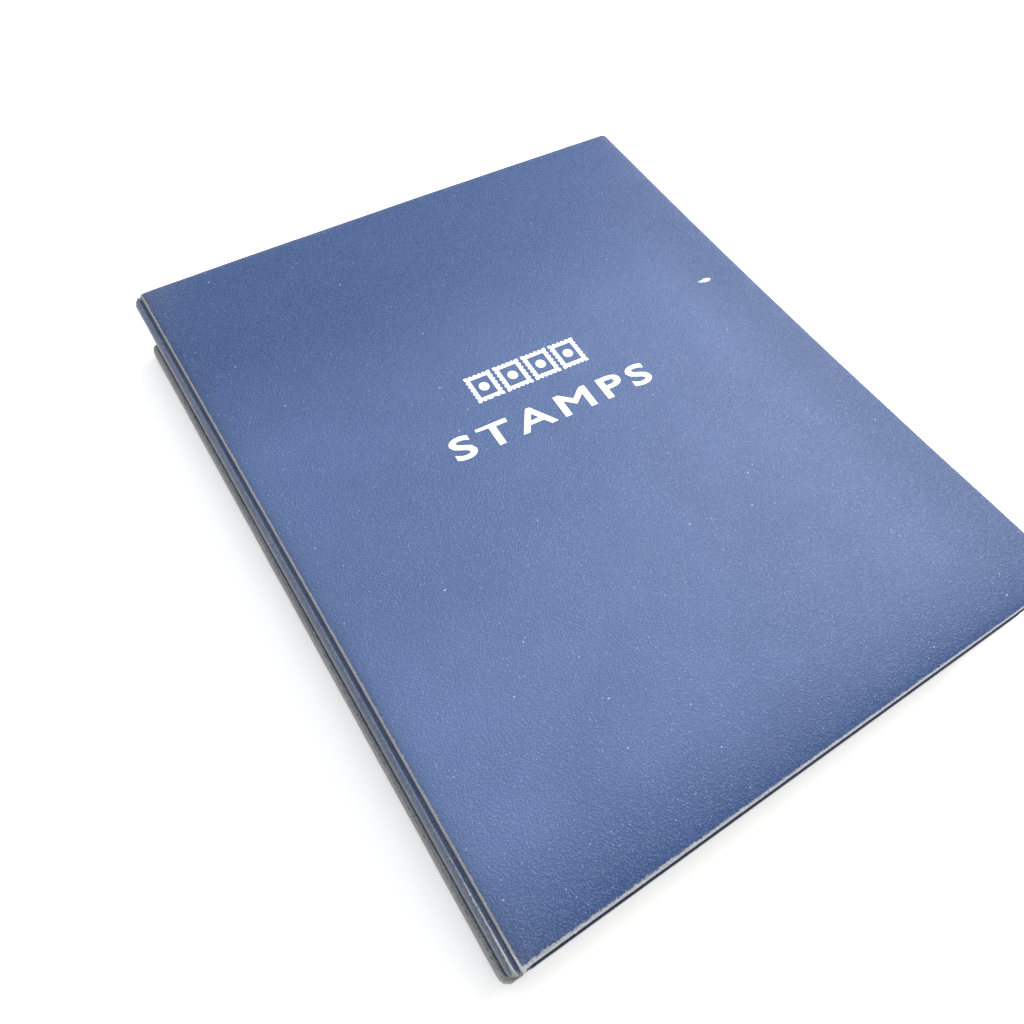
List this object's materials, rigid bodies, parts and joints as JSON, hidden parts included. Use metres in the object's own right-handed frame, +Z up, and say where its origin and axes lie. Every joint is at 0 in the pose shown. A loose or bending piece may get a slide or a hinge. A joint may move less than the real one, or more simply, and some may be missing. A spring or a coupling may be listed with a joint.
{
  "type": "stamp album",
  "caption": "Closed loose-leaf stamp album with a padded blue leathercloth cover, cloth-jointed spine, ring mechanism with levers, and punched album leaves.",
  "frame": {"origin": "on the table, under the middle of the outside box of the closed album", "axes": "+Z up through the closed album, +X from the spine to the fore-edge, +Y from the tail to the head"},
  "size_m": [0.2412, 0.288, 0.035],
  "materials": {
    "leathercloth": "pebble-grained, satin",
    "greyboard": "matte",
    "foam": "matte",
    "lining_paper": "matte",
    "nickel_steel": "polished",
    "album_leaf": "matte, printed grid",
    "glassine": "translucent satin",
    "end_card": "matte"
  },
  "bodies": {
    "back_cover": {"back_cover_cloth": "leathercloth", "back_board": "greyboard", "back_lining": "lining_paper", "lower_hinge_cloth": "leathercloth", "ring_arch_plate": "nickel_steel", "rivets": "nickel_steel", "end_leaf": "end_card", "leaf_bundle_1": "album_leaf", "glassine_sheet_1": "glassine", "leaf_bundle_2": "album_leaf", "glassine_sheet_2": "glassine", "leaf_bundle_3": "album_leaf", "glassine_sheet_3": "glassine", "leaf_bundle_4": "album_leaf", "glassine_sheet_4": "glassine", "leaf_bundle_5": "album_leaf", "title_leaf": "album_leaf"},
    "spine": {"spine_board": "greyboard", "spine_cloth": "leathercloth", "spine_lining": "lining_paper", "upper_hinge_cloth": "leathercloth"},
    "front_cover": {"front_board": "greyboard", "front_padding": "foam", "front_cover_cloth": "leathercloth", "front_lining": "lining_paper"},
    "left_ring_rail": {"left_rail": "nickel_steel", "left_half_rings": "nickel_steel"},
    "right_ring_rail": {"right_rail": "nickel_steel", "right_half_rings": "nickel_steel"},
    "head_lever": {"head_lever": "nickel_steel"},
    "tail_lever": {"tail_lever": "nickel_steel"}
  },
  "joints": [
    {"name": "spine_hinge", "type": "hinge", "parent": "back_cover", "child": "spine", "pos_m": [-0.1167, 0, 0.001], "axis": [0, -1, 0], "range_deg": [0, 90], "deforming": ["lower_hinge_cloth"]},
    {"name": "front_cover_hinge", "type": "hinge", "parent": "spine", "child": "front_cover", "pos_m": [-0.1167, 0, 0.034], "axis": [0, -1, 0], "range_deg": [0, 90], "deforming": ["upper_hinge_cloth"]},
    {"name": "left_rings", "type": "hinge", "parent": "back_cover", "child": "left_ring_rail", "pos_m": [-0.1086, 0, 0.0048], "axis": [0, -1, 0], "range_deg": [0, 9]},
    {"name": "right_rings", "type": "hinge", "parent": "back_cover", "child": "right_ring_rail", "pos_m": [-0.0888, 0, 0.0048], "axis": [0, 1, 0], "range_deg": [0, 9]},
    {"name": "head_lever_pivot", "type": "hinge", "parent": "back_cover", "child": "head_lever", "pos_m": [-0.0987, 0.13, 0.0063], "axis": [-1, 0, 0], "range_deg": [0, 25.2]},
    {"name": "tail_lever_pivot", "type": "hinge", "parent": "back_cover", "child": "tail_lever", "pos_m": [-0.0987, -0.13, 0.0063], "axis": [1, 0, 0], "range_deg": [0, 25.2]}
  ],
  "couplings": [
    {"joint": "right_rings", "follows": "left_rings", "ratio": 1},
    {"joint": "head_lever_pivot", "follows": "left_rings", "ratio": 2.8},
    {"joint": "tail_lever_pivot", "follows": "left_rings", "ratio": 2.8}
  ]
}
